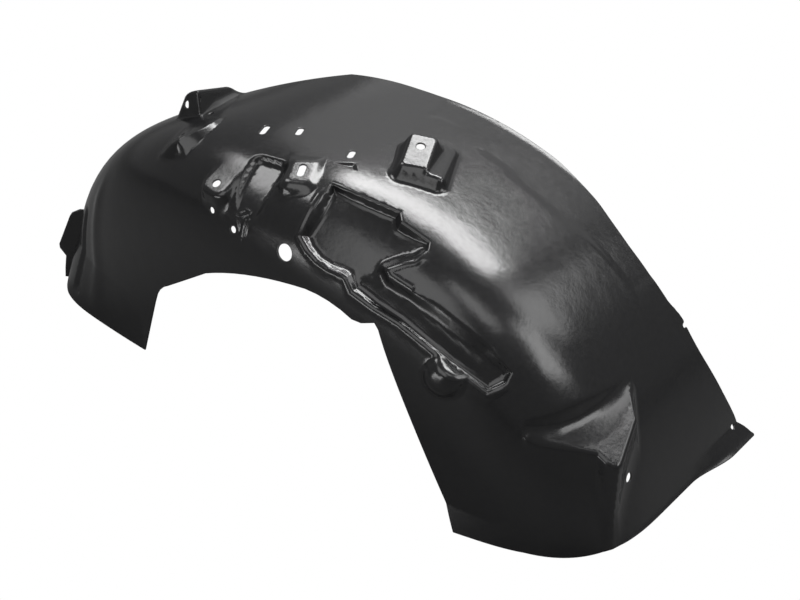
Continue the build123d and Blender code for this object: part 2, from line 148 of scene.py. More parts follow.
def seat(at, heading=0.0, pitch=0.0, roll=0.0):
    """A place on the sheet: turned about Z, tipped towards -Y by pitch and about its own length by roll."""
    turn = Matrix.Rotation(radians(heading), 3, "Z")
    turn = turn @ Matrix.Rotation(radians(pitch), 3, "X") @ Matrix.Rotation(radians(roll), 3, "Y")
    return np.array(at, float), np.array(turn)


def seen_from(place, p):
    """Points in a seat's own X, Y and Z."""
    at, axes = place
    return ((p - at) @ axes).T


def inside_rectangle(x, y, width, length, corner):
    """Distance inside a rectangle with round corners, negative outside it."""
    qx = np.abs(x) - width / 2 + corner
    qy = np.abs(y) - length / 2 + corner
    return corner - np.hypot(np.maximum(qx, 0), np.maximum(qy, 0)) - np.minimum(np.maximum(qx, qy), 0)


def raised(p, place, width, front, back, slope, corner, edge, deep=30.0):
    """Depth inside a pad from front to back whose sides slope out and down by so many degrees."""
    x, y, z = seen_from(place, p)
    plan = inside_rectangle(x, y - (front + back) / 2, width, back - front, corner)
    side = plan - z * tan(radians(slope))
    return np.minimum(round_both(side * cos(radians(slope)), -z, edge), z + deep)


BOX_SEAT = seat((29, 178, ARCH_TOP + 17), 20, 14, 6)
BOX_SIZE = dict(width=34, front=-29, back=29, slope=26, corner=6, edge=3.5)
BOX_STEP_SEAT = seat((36, 190, ARCH_TOP + 5), 20, 0, 13)
BOX_STEP_SIZE = dict(width=56, front=-38, back=38, slope=30, corner=7, edge=4)
BOX_STEP_FILLET = 3.0
BOX_FILLET = 4.0
LEFT_LOBE_SEAT = seat((-178, 68, 363), -10, 26)
LEFT_LOBE_SIZE = dict(width=44, front=-49, edge=6, fade=(-40, 28))
RIGHT_LOBE_SEAT = seat((-80, 82, 382), 22, 12)
RIGHT_LOBE_SIZE = dict(width=46, front=-29, edge=11, fade=(-8, 40))
LOBE_SIDES = dict(back=120, slope=15, corner=14, deep=60)
LOBE_RISE = 16.0
LOBE_EASE = 4.0
LOBE_FILLET = 4.0
LOBE_FILLET_LEAST = 0.01
POCKET_SEAT = seat((-131, 62, 353), 4, 27)
POCKET_WIDTH = 41.0
POCKET_BACK = 32.0
POCKET_FRONT = -110.0
POCKET_CORNER = 8.0
POCKET_DRAFT = radians(34)
POCKET_RUN_OUT = 16.0
POCKET_FILLET = 4.0
POCKET_EDGE = 2.5


def add_lobe(p, depth, place, width, front, edge, fade):
    """A plateau with a round front end that stands less and less proud until the crown takes it in."""
    stand = 1 - ramp(seen_from(place, p)[1], *fade)
    lobe = raised(p, place, width, front, edge=edge, **LOBE_SIDES)
    lobe = soft_less(lobe, depth + LOBE_RISE * stand, LOBE_EASE)
    return round_either(depth, lobe, LOBE_FILLET * np.maximum(stand, LOBE_FILLET_LEAST))


def cut_pocket(p, depth):
    """Pocket with steep walls at its back and sides, and a floor that runs out into the shoulder."""
    x, y, z = seen_from(POCKET_SEAT, p)
    middle = (POCKET_FRONT + POCKET_BACK) / 2
    plan = inside_rectangle(x, y - middle, POCKET_WIDTH, POCKET_BACK - POCKET_FRONT, POCKET_CORNER)
    walls = (plan + z * tan(POCKET_DRAFT)) * cos(POCKET_DRAFT)
    floor = soft_less(depth, -z, POCKET_RUN_OUT)
    return round_both(depth, round_either(-walls, floor, POCKET_FILLET), POCKET_EDGE)


def add_crown_pads(p, depth):
    """Box pad with its step, the two lobes and the pocket between them."""
    step = raised(p, BOX_STEP_SEAT, **BOX_STEP_SIZE)
    box = round_either(step, raised(p, BOX_SEAT, **BOX_SIZE), BOX_STEP_FILLET)
    depth = round_either(depth, box, BOX_FILLET)
    depth = add_lobe(p, depth, LEFT_LOBE_SEAT, **LEFT_LOBE_SIZE)
    depth = add_lobe(p, depth, RIGHT_LOBE_SEAT, **RIGHT_LOBE_SIZE)
    return cut_pocket(p, depth)


# Arch liner: forward pad
# A low patch at the front of the crown with a clip hole in it, formed in one with the sheet.
# It is highest at its short front, its rear side is a steep ramp, and its left side dips into the arch.

PAD_FOOT = 250.0
PAD_FRONT_BEND = 7.0
PAD_FRONT_BEND_RUN = (65, 95)
PAD_BACK_BEND = 5.0
PAD_BACK_BEND_RUN = (115, 150)
PAD_SLOPE = 0.75
PAD_LOW = 4.0
PAD_GROWTH = 9.0
PAD_GROWTH_START = 135.0
PAD_GROWTH_RUN = 60.0
PAD_DIP = (17, 58)
PAD_FRONT = (62, 72)
PAD_BACK = (122, 150)
PAD_ABOVE = 250.0


def add_pad(p, depth):
    """Raise the patch to the left of the ramp's foot."""
    x, y, z = p.T
    past_foot = -x - PAD_FOOT - PAD_FRONT_BEND * (1 - ramp(y, *PAD_FRONT_BEND_RUN))
    past_foot = past_foot - PAD_BACK_BEND * ramp(y, *PAD_BACK_BEND_RUN)
    height = PAD_LOW + PAD_GROWTH * np.clip((PAD_GROWTH_START - y) / PAD_GROWTH_RUN, 0, 1) ** 2
    side = np.minimum(np.maximum(past_foot, 0) * PAD_SLOPE, height) * (1 - ramp(past_foot, *PAD_DIP))
    ends = ramp(y, *PAD_FRONT) * (1 - ramp(y, *PAD_BACK))
    return depth + side * ends * (z > PAD_ABOVE)


# Arch liner: upright bracket at the forward edge
# A hollow tab of the same sheet with a slot in its steep front face, formed in one with the crown.
# Its long side falls back and its top slopes. Each face has a place, a direction and an edge radius.

BRACKET_RIDGE = (-306, 150, 393)
BRACKET_FACES = [
    (BRACKET_RIDGE, (0, -0.993, 0.119), 3),
    (BRACKET_RIDGE, (0.953, 0.27, 0.14), 3),
    (BRACKET_RIDGE, (-0.421, 0.284, 0.862), 5),
    ((-334, 150, 372), (-0.927, 0, 0.375), 9),
    ((-328, 246, 352), (-0.22, 0.8, 0.55), 12),
]
BRACKET_DEEP = 100.0
BRACKET_FILLET = 3.0
BRACKET_FILLET_GROWTH = 11.0
BRACKET_FILLET_RUN = (150, 195)


def behind(p, at, facing):
    """Depth behind a flat face."""
    facing = np.array(facing, float)
    return (np.array(at, float) - p) @ (facing / np.linalg.norm(facing))


def add_bracket(p, depth):
    """Join the tab to the crown, with a fillet that grows towards its back."""
    tab = np.full(len(p), BRACKET_DEEP)
    for at, facing, edge in BRACKET_FACES:
        tab = round_both(tab, behind(p, at, facing), edge)
    fillet = BRACKET_FILLET + BRACKET_FILLET_GROWTH * ramp(p[:, 1], *BRACKET_FILLET_RUN)
    return round_either(depth, tab, fillet)


# Arch liner: sunk panel and the channel that runs from it down the rear leg
# Formed into the shoulder, with drafted walls. A bead follows the lower borders, and the channel's upper
# border is soft. Outlines lie in the panel's seat: A along the sheet to the rear, B up it, C out of it.

def plane_seat(at, facing, run):
    """A place that faces one way and has its first axis along another."""
    up = Vector(facing).normalized()
    side = up.cross(Vector(run)).normalized()
    along = side.cross(up)
    return np.array(at, float), np.array((along, side, up)).T


def inside_polygon(x, y, points):
    """Distance inside a closed outline, negative outside it."""
    nearest = np.full(x.shape, np.inf)
    inside = np.zeros(x.shape, bool)
    for (ax, ay), (bx, by) in zip(points, points[1:] + points[:1]):
        ex, ey = bx - ax, by - ay
        t = np.clip(((x - ax) * ex + (y - ay) * ey) / (ex * ex + ey * ey), 0, 1)
        nearest = np.minimum(nearest, np.hypot(x - ax - t * ex, y - ay - t * ey))
        if ey:
            inside ^= ((ay > y) != (by > y)) & (x < ax + (y - ay) * ex / ey)
    return np.where(inside, nearest, -nearest)


PANEL_SEAT = plane_seat((60, 40, 330), (0.2, -0.68, 0.705), (0.9, -0.1, -0.42))
PANEL_OUTLINE = [
    (-113, 26), (-22, 60), (-10, 53), (32, 60), (39, 52), (37, 32), (30, 20), (21, 0),
    (24, -20), (5, -42), (-9, -39), (-18, -42), (-34, -48), (-51, -51), (-70, -50), (-88, -45),
]
CHANNEL_OUTLINE = [
    (-20, 12), (21, 0), (33, -4), (66, 3), (195, 20), (208, 19), (212, 6), (204, -17),
    (151, -25), (111, -29), (75, -33), (39, -42), (7, -47), (-9, -39), (-28, -34),
]
UPPER_BORDER = [(-113, 12), (-22, 42), (48, 44), (72, -14), (212, 4)]
BORDER_EASE = 8.0
PANEL_REACH = 60.0
PANEL_DRAFT = 0.8
PANEL_LEAN = 0.78
PANEL_EDGE = 2.0
PANEL_FILLET = 3.0
FLOOR_SINK = 14.0
FLOOR_LEFT = 90.0
FLOOR_FALL = 0.066
FLOOR_NEAR = 42.0
FLOOR_TILT = 0.13
FLOOR_FOLD = 6.0
FLOOR_FLATNESS = 0.6
FLOOR_BEND_SINK = 12.0
RIGHT_FLOOR_SINK = 21.0
RIGHT_FLOOR_FALL = 0.35
CHANNEL_SINK = 7.0
CHANNEL_FILLET = 4.0
NECK_SINK = 3.6
NECK_RUN = (5, 90)
NECK_FILLET = 3.0
BEAD_OUT = 3.5
BEAD_WIDTH = 3.0
BEAD_RISE = 1.3
SOFT_EDGE = 8.0
SOFT_START = (60, 100)
SOFT_END = (165, 195)


def cut_panel(p, depth, plain):
    """Sink the panel and its channel, and raise the bead beside them."""
    a, b, c = seen_from(PANEL_SEAT, p)
    main_floor = c + FLOOR_SINK - FLOOR_FALL * (a + FLOOR_LEFT) + FLOOR_TILT * (b + FLOOR_NEAR)
    right_floor = c + RIGHT_FLOOR_SINK - RIGHT_FLOOR_FALL * a
    flat_floor = round_both(main_floor, right_floor, FLOOR_FOLD)
    floor = FLOOR_FLATNESS * flat_floor + (1 - FLOOR_FLATNESS) * (FLOOR_BEND_SINK - plain)
    channel_floor = CHANNEL_SINK + NECK_SINK * (1 - ramp(a, *NECK_RUN)) - plain
    panel_side = (inside_polygon(a, b, PANEL_OUTLINE) - PANEL_DRAFT * plain) * PANEL_LEAN
    channel_side = (inside_polygon(a, b, CHANNEL_OUTLINE) - PANEL_DRAFT * plain) * PANEL_LEAN
    panel = round_both(panel_side, floor, PANEL_FILLET)
    channel = round_both(channel_side, channel_floor, CHANNEL_FILLET)
    space = round_either(panel, channel, NECK_FILLET)
    upper = ramp(b - np.interp(a, *zip(*UPPER_BORDER)), -BORDER_EASE, BORDER_EASE)
    bead = np.exp(-((np.maximum(panel_side, channel_side) + BEAD_OUT) / BEAD_WIDTH) ** 2)
    bead = bead * (1 - upper) * (np.abs(c) < PANEL_REACH)
    soft = upper * ramp(a, *SOFT_START) * (1 - ramp(a, *SOFT_END))
    return round_both(depth + BEAD_RISE * bead, -space, PANEL_EDGE + SOFT_EDGE * soft)


# Arch liner: wedge shelf on the rear leg
# A sloping flat is formed into the leg, and a wedge-shaped block carries it out beyond the leg's own curve.
# The outlines are seen from above; the flat slopes down to the rear.

SHELF_FACING = np.array((0.401, -0.183, 0.897))
SHELF_CORNER = np.array((387.0, 75.0, 130.0))
SHELF_BORDER = [(286, 34), (298, 48), (310, 66), (322, 92), (332, 122), (339, 152), (343, 182)]
SHELF_OUTSIDE = [(403, 182), (403, -20), (286, -20)]
SHELF_BLOCK = [
    (286, 34), (307, 44), (357, 77), (370, 76), (379, 78), (384, 83), (385, 91), (370, 152), (343, 182),
]
SHELF_OVERCUT = 4.0
SHELF_CORNER_ROUND = 12.0
SHELF_EDGE = 6.0
SHELF_BLOCK_EDGE = 5.0
SHELF_FILLET = 9.0


def cut_shelf(p, depth):
    """Cut the flat, then add the block under it."""
    x, y, z = p.T
    above = (p - SHELF_CORNER) @ SHELF_FACING
    plan = inside_polygon(x, y, SHELF_BORDER + SHELF_OUTSIDE) + SHELF_OVERCUT
    depth = round_both(depth, -round_both(plan, above, SHELF_CORNER_ROUND), SHELF_EDGE)
    block = round_both(inside_polygon(x, y, SHELF_BLOCK), -above, SHELF_BLOCK_EDGE)
    return round_either(depth, block, SHELF_FILLET)


# Arch liner: groove on the front foot, small forms on the wall and shallow lines on the crown
# Small forms of the mould: an upright groove with a ridge beside it, a dome, thin beads, a dent and a step.
# The groove and the ridge run alongside the upright plane in which the sheet is cut at its forward edge.

FORWARD_START = (-190.0, 335.0)
FORWARD_SLOPE = radians(29)
FOOT_CORNER = (400, 430)
GROOVE_IN = 62.0
GROOVE_SIDE = (3, 9)
GROOVE_BOTTOM = (12, 30)
GROOVE_TOP = (150, 175)
GROOVE_SINK = 4.5
RIDGE_IN = 99.0
RIDGE_WIDTH = 9.0
RIDGE_BOTTOM = (0, 50)
RIDGE_TOP = (200, 260)
RIDGE_RISE = 2.2
DOME_AT = (178.0, 221.0)
DOME_RADIUS = 20.0
DOME_RISE = 8.0
DOME_FILLET = 4.0
WALL_END = (30, 50)
TAB_RING = [(-143, 325), (-132, 332), (-123, 331), (-134, 324), (-143, 325)]
TAB_RIBS = [[(-126.7, 322), (-128.4, 301)], [(-121.8, 324), (-123.4, 303)]]
TAB_RISE = 1.4
TAB_SIDE = (0.4, 2.6)
DENT = [(-56, 120), (-36, 132), (-26, 122)]
DENT_SIDE = (-1.5, 3)
DENT_SINK = 2.5
DENT_ABOVE = 300.0
STEP_LINE = [(-30, 330), (-27, 285), (66, 296), (64, 264), (161, 253), (243, 266), (293, 272), (300, 330)]
STEP_SIDE = (-6, 6)
STEP_SINK = 1.0


def path_distance(x, y, points):
    """Distance to an open line of points."""
    nearest = np.full(x.shape, np.inf)
    for (ax, ay), (bx, by) in zip(points, points[1:]):
        ex, ey = bx - ax, by - ay
        t = np.clip(((x - ax) * ex + (y - ay) * ey) / (ex * ex + ey * ey), 0, 1)
        nearest = np.minimum(nearest, np.hypot(x - ax - t * ex, y - ay - t * ey))
    return nearest


def inside_forward_edge(x, y):
    """Distance from the upright plane of the forward edge."""
    return (x - FORWARD_START[0]) * sin(FORWARD_SLOPE) - (y - FORWARD_START[1]) * cos(FORWARD_SLOPE)


def add_front_groove(p, depth):
    """Upright groove on the front foot's corner and the soft ridge beside it."""
    x, y, z = p.T
    forward = inside_forward_edge(x, y)
    on_foot = ramp(-x, *FOOT_CORNER)
    groove = 1 - ramp(np.abs(forward - GROOVE_IN), *GROOVE_SIDE)
    groove = groove * ramp(z, *GROOVE_BOTTOM) * (1 - ramp(z, *GROOVE_TOP))
    ridge = np.exp(-((forward - RIDGE_IN) / RIDGE_WIDTH) ** 2)
    ridge = ridge * ramp(z, *RIDGE_BOTTOM) * (1 - ramp(z, *RIDGE_TOP))
    return depth + on_foot * (RIDGE_RISE * ridge - GROOVE_SINK * groove)


def add_small_forms(p, depth):
    """Dome and thin beads on the wall, dent and step on the crown."""
    x, y, z = p.T
    ball = (DOME_RADIUS**2 + DOME_RISE**2) / (2 * DOME_RISE)
    centre = (DOME_AT[0], wall_y(DOME_AT[0]) + ball - DOME_RISE, DOME_AT[1])
    depth = round_either(depth, ball - np.linalg.norm(p - centre, axis=1), DOME_FILLET)
    on_wall = 1 - ramp(y, *WALL_END)
    for bead in [TAB_RING, *TAB_RIBS]:
        depth = depth + TAB_RISE * (1 - ramp(path_distance(x, z, bead), *TAB_SIDE)) * on_wall
    dent = ramp(inside_polygon(x, y, DENT), *DENT_SIDE) * (z > DENT_ABOVE)
    step = ramp(inside_polygon(x, y, STEP_LINE), *STEP_SIDE)
    return depth - STEP_SINK * step - DENT_SINK * dent


def depth_below_skin(p):
    """Depth of points below the finished outer skin."""
    plain = arch(p)
    depth = add_small_forms(p, add_front_groove(p, plain))
    depth = add_pad(p, depth)
    depth = add_crown_pads(p, depth)
    depth = add_bracket(p, depth)
    depth = cut_panel(p, depth, plain)
    return cut_shelf(p, depth)


# Arch liner: where the sheet is trimmed
# The formed sheet is cut along its feet, its outer and forward edges and the wheel cutout in its wall.
# The holes for clips, bolts and a grommet are punched through it.

def arc_through(a, b, c, count=10):
    """Points on the circle through three points, from the first to the last."""
    (ax, ay), (bx, by), (cx, cy) = a, b, c
    d = 2 * (ax * (by - cy) + bx * (cy - ay) + cx * (ay - by))
    ux = ((ax**2 + ay**2) * (by - cy) + (bx**2 + by**2) * (cy - ay) + (cx**2 + cy**2) * (ay - by)) / d
    uy = ((ax**2 + ay**2) * (cx - bx) + (bx**2 + by**2) * (ax - cx) + (cx**2 + cy**2) * (bx - ax)) / d
    first = np.arctan2(ay - uy, ax - ux)
    sweep = (np.arctan2(cy - uy, cx - ux) - first + pi) % (2 * pi) - pi
    angles = first + sweep * np.linspace(0, 1, count)
    radius = np.hypot(ax - ux, ay - uy)
    return [(ux + radius * cos(t), uy + radius * sin(t)) for t in angles]


SHEET = 2.5
CUTOUT = [(-365, -40), (-357, 0), (-318, 104)]
CUTOUT += arc_through((-314, 114), (-302, 136), (-283, 152), 5)
CUTOUT += [(-199, 214)]
CUTOUT += arc_through((-199, 214), (-90, 258), (-20, 272))[1:]
CUTOUT += arc_through((-20, 272), (20, 269), (52, 258), 5)[1:]
CUTOUT += [(66, 258), (84, 265)]
CUTOUT += arc_through((90, 258), (150, 123), (210, 0), 12)
CUTOUT += [(230, -40)]
OUTER_EDGE = [
    (-190, 335), (-62, 336), (140, 332), (205, 324), (231, 317), (260, 312), (302, 311), (328, 313),
    (336, 321), (352, 320), (370, 324), (389, 335), (407, 349), (421, 368), (438, 380), (470, 382),
]
EDGE_EASE = (-6, 0, 6)
ROLL_TRIM = 0.8 * SHEET
HOLE_DEPTH = 25.0
# Each hole: its seat, its place there, its radius and half the straight length of a slot.
HOLES = {
    "box bolt": (BOX_SEAT, (0, 8), 5.5, 0),
    "left lobe clip": (LEFT_LOBE_SEAT, (0, -33), 5.5, 0),
    "right lobe slot": (RIGHT_LOBE_SEAT, (0, 0), 4.5, 6),
    "pad clip": (plane_seat((-284, 90, 358), (-0.27, -0.25, 0.93), (1, 0, 0)), (0, 0), 5, 0),
    "pad slot": (plane_seat((-292, 156, 361), (-0.45, -0.1, 0.89), (1, 0, 0)), (0, 0), 3, 1.5),
    "bracket slot": (seat((-326, 150, 367), pitch=90), (0, 0), 3.5, 2.5),
    "opening behind the bracket": (seat((-341, 166, 355), roll=-68), (0, 0), 10, 4),
    "front foot clip": (seat((-500, 88, 103), pitch=90, roll=-55), (0, 0), 3, 0),
    "front foot pin": (seat((-500, 88, 92), pitch=90, roll=-55), (0, 0), 1.8, 0),
    "front crown slot": (seat((-181, 135, ARCH_TOP), 15), (0, 0), 4, 7),
    "middle crown slot": (seat((-140, 155, ARCH_TOP), 18), (0, 0), 4, 5),
    "rear crown slot": (seat((-52, 147, ARCH_TOP), 18), (0, 0), 4, 5),
    "wall grommet": (seat((-56, 5.5, 310), pitch=70), (0, 0), 11, 0),
    "upper wall clip": (seat((-184, 18.5, 317), pitch=70), (0, 0), 4, 0),
    "lower wall clip": (seat((-144, 13.6, 306), pitch=70), (0, 0), 4.5, 0),
    "rear leg clip": (seat((379.7, 122.5, 84.6), -5, roll=69.6), (0, 0), 6, 0),
    "outer edge clip": (seat((346, 318, 182), -5, roll=56), (0, 0), 3, 0),
    "rear foot clip": (seat((419, 352, 24), -5, roll=77.5), (0, 0), 3, 0),
}


def kept(p):
    """Distance inside the trimmed outline of the sheet, negative where it is cut away."""
    x, y, z = p.T
    edge = sum(np.interp(x + shift, *zip(*OUTER_EDGE)) for shift in EDGE_EASE) / len(EDGE_EASE)
    reach, along = rear_round(p)
    foot = z - ROLL_TRIM * ramp(along, *ROLL_START) * (reach > 0)
    keep = np.minimum(foot, edge - y)
    keep = np.minimum(keep, inside_forward_edge(x, y))
    keep = np.minimum(keep, -inside_polygon(x, z, CUTOUT))
    for place, shift, radius, half in HOLES.values():
        hx, hy, hz = seen_from(place, p)
        beyond = np.hypot(hx - shift[0], np.maximum(np.abs(hy - shift[1]) - half, 0)) - radius
        keep = np.minimum(keep, np.where(np.abs(hz) < HOLE_DEPTH, beyond, keep))
    return keep - SHEET / 2


# Arch liner: skin as a mesh
# A flat chart of the plain arch, U along it and W across it, gives each point a start and a direction.
# A ray from there finds the skin. Squares of the chart are split where the skin bends or is trimmed.

FAN = 95.0
CHART_SHOULDER = 110.0
ALONG = (-FAN - FRONT_RADIUS * radians(88), REAR_RADIUS * radians(86))
ACROSS = (-330.0, 270.0)
WALL_STEPS = 5
COARSE = 8
BEND_LIMIT = {8: 0.9965, 4: 0.974, 2: 0.89}
TRIM_NEAR = {8: 6.0, 4: 2.4, 2: 0.1}
TRIM_STEPS = 12
RAY_OUT = 48.0
RAY_STEPS = 70
RAY_STRIDE = 0.85
RAY_MISS = 0.004
STEEP_NEAR = (-35, -3)
FAR_OFF = -100.0
BRACKET_PLAN = [(-355, 150), (-298, 150), (-312, 205), (-326, 255), (-365, 240)]
BRACKET_UP = (0.15, -0.3, 0.94)
BOX_PLAN = dict(width=62, length=84, corner=7)
ARCH_PROBE = 0.5
SKIN_PROBE = 0.4
NO_CHANGE = 1e-9
TINY = 1e-6


def chart_point(u, w):
    """Point of the plain arch: u along it from the rear drum's apex, w across it from the shoulder."""
    bend = np.clip(-w / CHART_SHOULDER, 0, pi / 2)
    under = CHART_SHOULDER * (1 - np.cos(bend)) + np.maximum(-w - CHART_SHOULDER * pi / 2, 0)
    inboard = CHART_SHOULDER * (1 - np.sin(bend)) + np.maximum(w, 0)
    t = np.clip(-u / FAN, 0, 1)
    turn = REAR_TURN + (FRONT_TURN - REAR_TURN) * t
    rear = np.maximum(u, 0) / REAR_RADIUS
    front = np.maximum(-u - FAN, 0) / FRONT_RADIUS
    reach = (REAR_RADIUS - under) * np.sin(rear) - (FRONT_RADIUS - under) * np.sin(front)
    z = ARCH_TOP - under - (REAR_RADIUS - under) * (1 - np.cos(rear))
    z = z - (FRONT_RADIUS - under) * (1 - np.cos(front))
    x = REAR_APEX[0] + t * (FRONT_APEX[0] - REAR_APEX[0]) + reach * np.cos(turn)
    y = REAR_APEX[1] + t * (FRONT_APEX[1] - REAR_APEX[1]) - reach * np.sin(turn)
    for _ in range(WALL_STEPS):
        slope = (x - WALL_BOW_AT) / np.sqrt(WALL_BOW**2 - (x - WALL_BOW_AT) ** 2)
        move = (inboard - y + wall_y(x)) / (np.cos(turn) - slope * np.sin(turn))
        x = x + move * np.sin(turn)
        y = y + move * np.cos(turn)
    return np.stack((x, y, z), 1)


def gradient(form, p, step):
    """Unit direction out of a form of depths."""
    change = np.stack([form(p - d) - form(p + d) for d in np.eye(3) * step], 1)
    return change / np.maximum(np.linalg.norm(change, axis=1, keepdims=True), NO_CHANGE)


def ray_directions(start):
    """Out of the plain arch, or out of a steep-sided form near one."""
    out = gradient(arch, start, ARCH_PROBE)
    a, b, c = seen_from(PANEL_SEAT, start)
    in_panel = np.maximum(inside_polygon(a, b, PANEL_OUTLINE), inside_polygon(a, b, CHANNEL_OUTLINE))
    in_panel = np.where(c > -PANEL_REACH, in_panel, FAR_OFF)
    in_bracket = inside_polygon(start[:, 0], start[:, 1], BRACKET_PLAN)
    x, y, z = seen_from(BOX_STEP_SEAT, start)
    in_box = inside_rectangle(x, y, **BOX_PLAN)
    panel_up, box_up = PANEL_SEAT[1][:, 2], BOX_SEAT[1][:, 2]
    for near, up in ((in_panel, panel_up), (in_bracket, BRACKET_UP), (in_box, box_up)):
        share = ramp(near, *STEEP_NEAR)[:, None]
        out = out * (1 - share) + np.array(up) * share
    return out / np.linalg.norm(out, axis=1, keepdims=True)


def skin_points(u, w):
    """Where the rays of chart places meet the outer skin."""
    start = chart_point(u, w)
    out = ray_directions(start)
    height = np.full(len(u), RAY_OUT)
    active = np.arange(len(u))
    for _ in range(RAY_STEPS):
        depth = depth_below_skin(start[active] + out[active] * height[active, None])
        height[active] += RAY_STRIDE * depth
        active = active[(np.abs(depth) > RAY_MISS) & (height[active] > -RAY_OUT)]
        if not len(active):
            break
    return start + out * height[:, None]


def square_corners(squares, size):
    """The four corners of squares of one size."""
    return (squares[:, None] + np.array([(0, 0), (size, 0), (0, size), (size, size)])).reshape(-1, 2)


def skin_squares():
    """Corners of the chart's squares, split where the skin isn't flat or is trimmed."""
    us = np.arange(ALONG[0] // COARSE, ALONG[1] // COARSE + 1, dtype=int) * COARSE
    ws = np.arange(ACROSS[0] // COARSE, ACROSS[1] // COARSE + 1, dtype=int) * COARSE
    squares = np.stack(np.meshgrid(us, ws, indexing="ij"), -1).reshape(-1, 2)
    corners = []
    for size, bend_limit in BEND_LIMIT.items():
        half = size // 2
        offsets = np.array([(i, j) for i in (0, half, size) for j in (0, half, size)])
        keys, nine = np.unique((squares[:, None] + offsets).reshape(-1, 2), axis=0, return_inverse=True)
        nine = nine.reshape(-1, len(offsets))
        points = skin_points(keys[:, 0].astype(float), keys[:, 1].astype(float))
        keep = kept(points)[nine]
        used = keep.max(1) > -size
        normals = gradient(depth_below_skin, points, SKIN_PROBE)[nine]
        mean = normals[:, (0, 2, 6, 8)].mean(1)
        mean /= np.linalg.norm(mean, axis=1, keepdims=True)
        turn = np.einsum("ijk,ik->ij", normals, mean).min(1)
        trimmed = np.abs(keep).min(1) < TRIM_NEAR[size]
        split = used & ((turn < bend_limit) | trimmed)
        corners.append(square_corners(squares[used & ~split], size))
        squares = square_corners(squares[split], half)
    corners.append(square_corners(squares, 1))
    return np.unique(np.concatenate(corners), axis=0).astype(float)


def trimmed_skin():
    """Chart places and triangles of the skin, cut exactly along the trim line."""
    places = skin_squares()
    points = skin_points(places[:, 0], places[:, 1])
    keep = kept(points)
    found = delaunay_2d_cdt([Vector(p) for p in places], [], [], 0, TINY)
    triangles = np.array(found[2])
    spread = np.ptp(places[triangles], axis=1).max(1)
    triangles = triangles[(spread <= COARSE) & (keep[triangles].max(1) > 0)]
    whole = triangles[keep[triangles].min(1) >= 0]
    crossing = triangles[keep[triangles].min(1) < 0]
    edges = np.concatenate([crossing[:, (i, (i + 1) % 3)] for i in range(3)])
    edges = np.unique(np.sort(edges, axis=1), axis=0)
    edges = edges[(keep[edges[:, 0]] >= 0) != (keep[edges[:, 1]] >= 0)]
    low, high = np.zeros(len(edges)), np.ones(len(edges))
    first_in = keep[edges[:, 0]] >= 0
    for _ in range(TRIM_STEPS):
        mid = (low + high) / 2
        at = places[edges[:, 0]] * (1 - mid[:, None]) + places[edges[:, 1]] * mid[:, None]
        inside = (kept(skin_points(at[:, 0], at[:, 1])) >= 0) == first_in
        low = np.where(inside, mid, low)
        high = np.where(inside, high, mid)
    at = places[edges[:, 0]] * (1 - low[:, None]) + places[edges[:, 1]] * low[:, None]
    new_index = {tuple(e): len(places) + i for i, e in enumerate(edges.tolist())}
    places = np.concatenate((places, at))
    cut = []
    for tri in crossing.tolist():
        loop = []
        for a, b in zip(tri, tri[1:] + tri[:1]):
            if keep[a] >= 0:
                loop.append(a)
            if (keep[a] >= 0) != (keep[b] >= 0):
                loop.append(new_index[(min(a, b), max(a, b))])
        cut += [(loop[0], loop[i], loop[i + 1]) for i in range(1, len(loop) - 1)]
    triangles = np.concatenate((whole, np.array(cut)))
    used, flat = np.unique(triangles, return_inverse=True)
    return places[used], flat.reshape(-1, 3)


# Arch liner: thickness of the sheet and its edges
# The sheet is as thick as the part's solid, and its cut edges are half round.

RIM_STEPS = 4


def rim_edges(triangles):
    """Edges with one triangle only, in that triangle's direction."""
    edges = np.concatenate([triangles[:, (i, (i + 1) % 3)] for i in range(3)])
    _, first, count = np.unique(np.sort(edges, axis=1), axis=0, return_index=True, return_counts=True)
    return edges[first[count == 1]]


def sheet_wall(outer, facing, triangles, away):
    """A sheet behind its outer skin: inner skin and half-round edges that bulge `away` at the open edges."""
    edges = rim_edges(triangles)
    rim, edges = np.unique(edges, return_inverse=True)
    edges = edges.reshape(-1, 2)
    away = away[rim] - facing[rim] * np.einsum("ij,ij->i", away[rim], facing[rim])[:, None]
    away /= np.maximum(np.linalg.norm(away, axis=1, keepdims=True), TINY)
    points = [outer, outer - facing * SHEET]
    normals = [facing, -facing]
    faces = [triangles, triangles[:, ::-1] + len(outer)]
    rows = [rim]
    for step in range(1, RIM_STEPS):
        angle = pi * step / RIM_STEPS
        direction = facing[rim] * cos(angle) + away * sin(angle)
        rows.append(sum(len(part) for part in points) + np.arange(len(rim)))
        points.append(outer[rim] - facing[rim] * SHEET / 2 + direction * SHEET / 2)
        normals.append(direction)
    rows.append(rim + len(outer))
    for upper, lower in zip(rows, rows[1:]):
        a, b, c, d = upper[edges[:, 1]], upper[edges[:, 0]], lower[edges[:, 0]], lower[edges[:, 1]]
        faces += [np.stack((a, b, c), 1), np.stack((a, c, d), 1)]
    return np.concatenate(points), np.concatenate(normals), np.concatenate(faces)


def facing_out(points, triangles, facing):
    """The triangles, turned over if most of them face the other way."""
    a, b, c = points[triangles].transpose(1, 0, 2)
    turned = np.einsum("ij,ij->i", np.cross(b - a, c - a), facing[triangles[:, 0]])
    return triangles if np.median(turned) > 0 else triangles[:, ::-1]


# Arch liner: upright flange along the forward edge, with a tab that reaches further
# It is folded from the sheet and stands in the upright plane of the forward edge.
# Its outline is distance along that plane and height; its root is buried in the sheet.

FLANGE_OUTER = [
    (412, 124), (424, 118), (428, 112), (451, 60), (451, 54), (443, 40), (447, 17), (449, SHEET / 2),
]
FLANGE_SEARCH = np.arange(330.0, 450.0, 0.5)
FLANGE_ROOT_POINTS = 18
FLANGE_ROOT_DEPTH = 0.6 * SHEET


